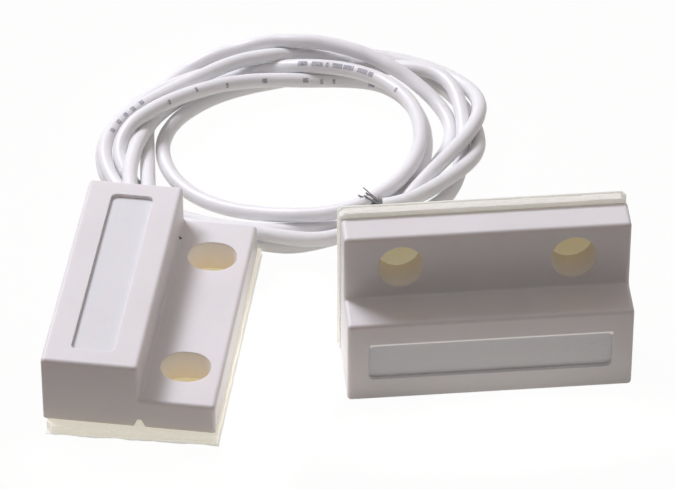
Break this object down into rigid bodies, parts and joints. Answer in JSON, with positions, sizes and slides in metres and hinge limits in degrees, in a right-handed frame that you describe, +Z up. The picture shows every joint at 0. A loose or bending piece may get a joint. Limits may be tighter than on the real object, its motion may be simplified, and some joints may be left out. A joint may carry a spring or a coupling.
{
  "type": "wired magnetic door contact",
  "caption": "Surface mounted door contact: an L-shaped switch half with a sealed reed and thin wire leads, and a matching magnet half, both with foam tape and screw slots.",
  "frame": {"origin": "centre of the switch half's adhesive mounting face", "axes": "+X from the switch half's high bar to its screw flange, +Y along its length towards the end that the leads leave, +Z up off its mounting face"},
  "size_m": [0.0558, 0.0627, 0.0171],
  "materials": {
    "case": "satin moulded white ABS",
    "glass": "clear, slightly green",
    "reed": "plated nickel-iron",
    "jacket": "smooth white vinyl",
    "conductor": "tinned copper strands",
    "solder": "bright solder",
    "resin": "poured, smooth",
    "foam": "cream foam with adhesive",
    "liner": "waxed paper",
    "magnet": "ground ferrite"
  },
  "bodies": {
    "root": {"switch_case": "case", "magnet_case": "case", "reed_glass": "glass", "reed_blade_near": "reed", "reed_blade_far": "reed", "lead_a_tail": "jacket", "lead_b_tail": "jacket", "conductor_a": "conductor", "conductor_b": "conductor", "solder_a": "solder", "solder_b": "solder", "switch_potting": "resin", "magnet_potting": "resin", "switch_tape": "foam", "magnet_tape": "foam", "switch_liner": "liner", "magnet_liner": "liner", "bar_magnet": "magnet", "lead_a": "jacket", "lead_b": "jacket", "lead_coil": "jacket", "lead_tip_a": "conductor", "lead_tip_b": "conductor"}
  },
  "joints": []
}
